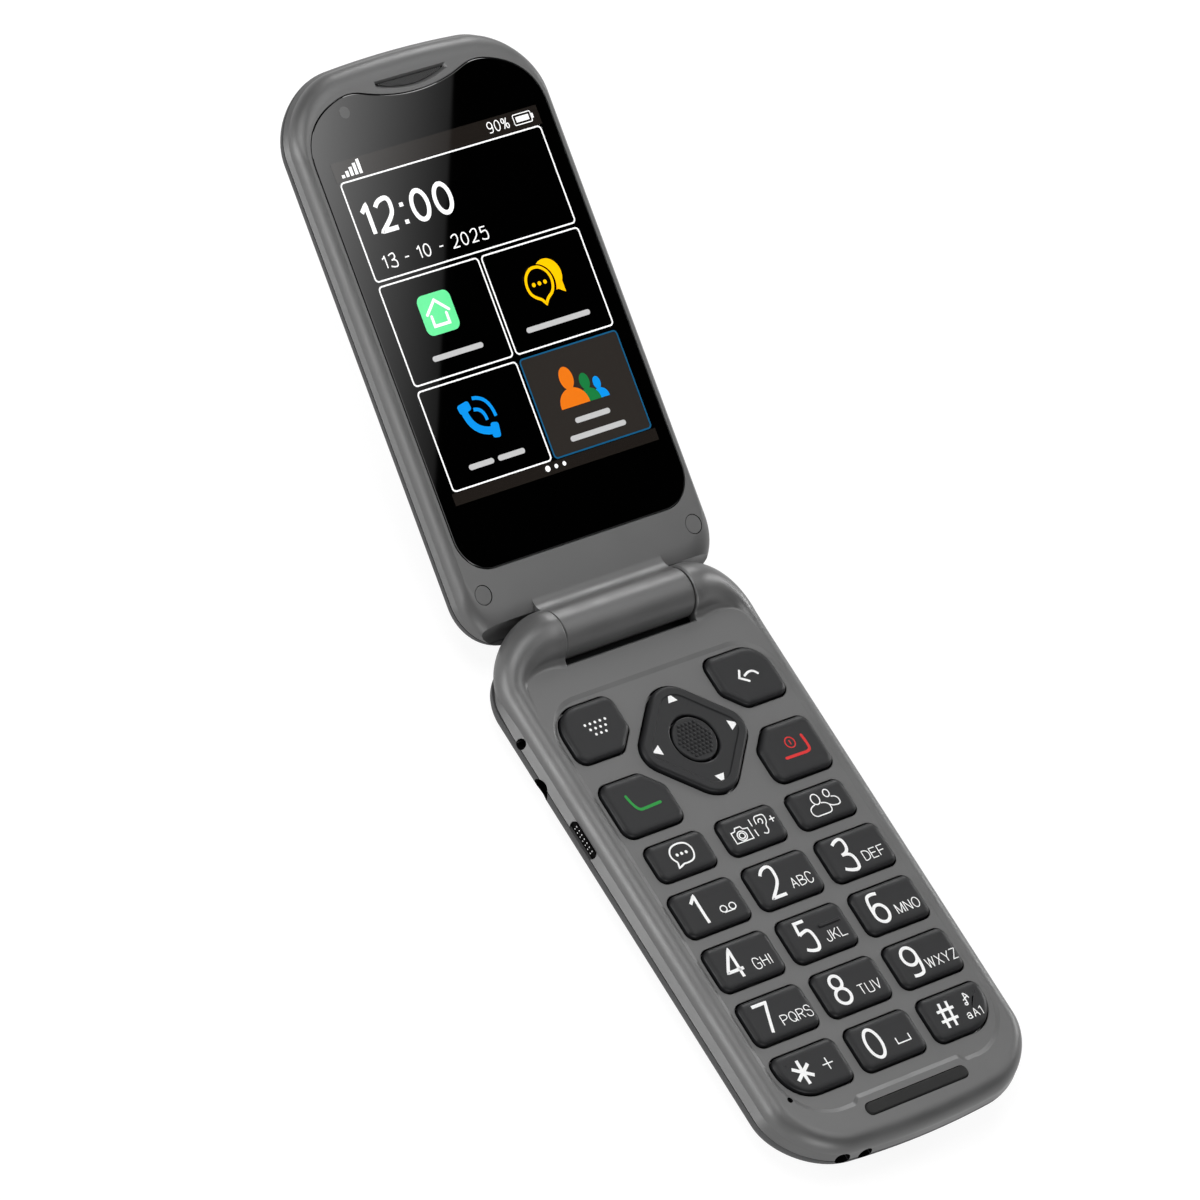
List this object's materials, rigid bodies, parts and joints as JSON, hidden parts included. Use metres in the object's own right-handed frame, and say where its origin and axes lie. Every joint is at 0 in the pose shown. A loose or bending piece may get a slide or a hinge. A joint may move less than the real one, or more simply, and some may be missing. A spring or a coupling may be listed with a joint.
{
  "type": "clamshell phone",
  "caption": "Clamshell phone for seniors, open on its back: a big-key base, a touch-free colour display in the lid, and a barrel hinge.",
  "frame": {"origin": "middle of the base's flat back, which the phone lies on", "axes": "+X to the right of the keypad, +Y from the keypad end towards the hinge and the open lid, +Z out of the keys"},
  "size_m": [0.055, 0.1909, 0.0397],
  "materials": {
    "shell_grey": "fine matt grey paint, satin on curves",
    "shell_dark": "dark soft-touch moulding",
    "key_charcoal": "charcoal silicone-feel key caps",
    "screen_glass": "glossy black-backed cover glass",
    "rubber_black": "matt moulded rubber",
    "plug_grey": "matt grey screw plugs",
    "bright_metal": "plated steel",
    "socket_black": "black moulded housings",
    "battery_wrap": "black wrap over a metal can",
    "board_green": "solder-masked circuit board"
  },
  "bodies": {
    "base": {"base_front_cover": "shell_grey", "base_back_shell": "shell_dark", "keypad_board": "board_green", "dome_sheet": "bright_metal", "main_board": "board_green", "battery": "battery_wrap", "loudspeaker": "socket_black", "vibration_motor": "bright_metal", "charging_port": "socket_black", "audio_jack": "socket_black", "rubber_bar": "rubber_black", "hinge_cam_shaft": "bright_metal", "hinge_bush": "bright_metal", "charging_contact_1": "bright_metal", "charging_contact_2": "bright_metal", "base_screw_1": "bright_metal", "base_screw_2": "bright_metal", "base_screw_3": "bright_metal", "base_screw_4": "bright_metal"},
    "battery_cover": {"battery_cover": "shell_dark"},
    "key_star": {"key_star": "key_charcoal"},
    "key_0": {"key_0": "key_charcoal"},
    "key_hash": {"key_hash": "key_charcoal"},
    "key_7": {"key_7": "key_charcoal"},
    "key_8": {"key_8": "key_charcoal"},
    "key_9": {"key_9": "key_charcoal"},
    "key_4": {"key_4": "key_charcoal"},
    "key_5": {"key_5": "key_charcoal"},
    "key_6": {"key_6": "key_charcoal"},
    "key_1": {"key_1": "key_charcoal"},
    "key_2": {"key_2": "key_charcoal"},
    "key_3": {"key_3": "key_charcoal"},
    "key_function_left": {"key_function_left": "key_charcoal"},
    "key_function_middle": {"key_function_middle": "key_charcoal"},
    "key_function_right": {"key_function_right": "key_charcoal"},
    "key_call": {"key_call": "key_charcoal"},
    "key_end": {"key_end": "key_charcoal"},
    "key_soft_left": {"key_soft_left": "key_charcoal"},
    "key_soft_right": {"key_soft_right": "key_charcoal"},
    "key_ok": {"key_ok": "key_charcoal"},
    "direction_collar": {"direction_collar": "rubber_black"},
    "direction_ring": {"direction_ring": "key_charcoal"},
    "lid": {"lid_front_frame": "shell_grey", "lid_back_shell": "shell_dark", "display_glass": "screen_glass", "display_module": "socket_black", "lid_board": "board_green", "earpiece_grille": "bright_metal", "earpiece_speaker": "socket_black", "front_sensor": "socket_black", "camera_lens": "screen_glass", "camera_module": "socket_black", "flash_lens": "screen_glass", "hinge_cartridge": "bright_metal", "hinge_flex_cable": "rubber_black", "lid_plug_1": "plug_grey", "lid_plug_2": "plug_grey", "lid_screw_1": "bright_metal", "lid_screw_2": "bright_metal"}
  },
  "joints": [
    {"name": "lid_hinge", "type": "hinge", "parent": "base", "child": "lid", "pos_m": [0, 0.04655, 0.0097], "axis": [1, 0, 0], "range_deg": [0, 160.77]},
    {"name": "battery_cover_slide", "type": "slide", "parent": "base", "child": "battery_cover", "axis": [0, -1, 0], "range_m": [0, 0.035]},
    {"name": "key_star_press", "type": "slide", "parent": "base", "child": "key_star", "axis": [0, 0, -1], "range_m": [0, 0.00035], "stiffness_N_per_m": 1500},
    {"name": "key_0_press", "type": "slide", "parent": "base", "child": "key_0", "axis": [0, 0, -1], "range_m": [0, 0.00035], "stiffness_N_per_m": 1500},
    {"name": "key_hash_press", "type": "slide", "parent": "base", "child": "key_hash", "axis": [0, 0, -1], "range_m": [0, 0.00035], "stiffness_N_per_m": 1500},
    {"name": "key_7_press", "type": "slide", "parent": "base", "child": "key_7", "axis": [0, 0, -1], "range_m": [0, 0.00035], "stiffness_N_per_m": 1500},
    {"name": "key_8_press", "type": "slide", "parent": "base", "child": "key_8", "axis": [0, 0, -1], "range_m": [0, 0.00035], "stiffness_N_per_m": 1500},
    {"name": "key_9_press", "type": "slide", "parent": "base", "child": "key_9", "axis": [0, 0, -1], "range_m": [0, 0.00035], "stiffness_N_per_m": 1500},
    {"name": "key_4_press", "type": "slide", "parent": "base", "child": "key_4", "axis": [0, 0, -1], "range_m": [0, 0.00035], "stiffness_N_per_m": 1500},
    {"name": "key_5_press", "type": "slide", "parent": "base", "child": "key_5", "axis": [0, 0, -1], "range_m": [0, 0.00035], "stiffness_N_per_m": 1500},
    {"name": "key_6_press", "type": "slide", "parent": "base", "child": "key_6", "axis": [0, 0, -1], "range_m": [0, 0.00035], "stiffness_N_per_m": 1500},
    {"name": "key_1_press", "type": "slide", "parent": "base", "child": "key_1", "axis": [0, 0, -1], "range_m": [0, 0.00035], "stiffness_N_per_m": 1500},
    {"name": "key_2_press", "type": "slide", "parent": "base", "child": "key_2", "axis": [0, 0, -1], "range_m": [0, 0.00035], "stiffness_N_per_m": 1500},
    {"name": "key_3_press", "type": "slide", "parent": "base", "child": "key_3", "axis": [0, 0, -1], "range_m": [0, 0.00035], "stiffness_N_per_m": 1500},
    {"name": "key_function_left_press", "type": "slide", "parent": "base", "child": "key_function_left", "axis": [0, 0, -1], "range_m": [0, 0.00035], "stiffness_N_per_m": 1500},
    {"name": "key_function_middle_press", "type": "slide", "parent": "base", "child": "key_function_middle", "axis": [0, 0, -1], "range_m": [0, 0.00035], "stiffness_N_per_m": 1500},
    {"name": "key_function_right_press", "type": "slide", "parent": "base", "child": "key_function_right", "axis": [0, 0, -1], "range_m": [0, 0.00035], "stiffness_N_per_m": 1500},
    {"name": "key_call_press", "type": "slide", "parent": "base", "child": "key_call", "axis": [0, 0, -1], "range_m": [0, 0.00035], "stiffness_N_per_m": 1500},
    {"name": "key_end_press", "type": "slide", "parent": "base", "child": "key_end", "axis": [0, 0, -1], "range_m": [0, 0.00035], "stiffness_N_per_m": 1500},
    {"name": "key_soft_left_press", "type": "slide", "parent": "base", "child": "key_soft_left", "axis": [0, 0, -1], "range_m": [0, 0.00035], "stiffness_N_per_m": 1500},
    {"name": "key_soft_right_press", "type": "slide", "parent": "base", "child": "key_soft_right", "axis": [0, 0, -1], "range_m": [0, 0.00035], "stiffness_N_per_m": 1500},
    {"name": "key_ok_press", "type": "slide", "parent": "base", "child": "key_ok", "axis": [0, 0, -1], "range_m": [0, 0.00035], "stiffness_N_per_m": 1500},
    {"name": "direction_rock_sideways", "type": "hinge", "parent": "base", "child": "direction_collar", "pos_m": [0, 0.02209, 0.0082], "axis": [0, 1, 0], "range_deg": [-1.5, 1.5], "stiffness_Nm_per_rad": 1},
    {"name": "direction_rock_lengthways", "type": "hinge", "parent": "direction_collar", "child": "direction_ring", "pos_m": [0, 0.02209, 0.0082], "axis": [1, 0, 0], "range_deg": [-1.5, 1.5], "stiffness_Nm_per_rad": 1}
  ]
}
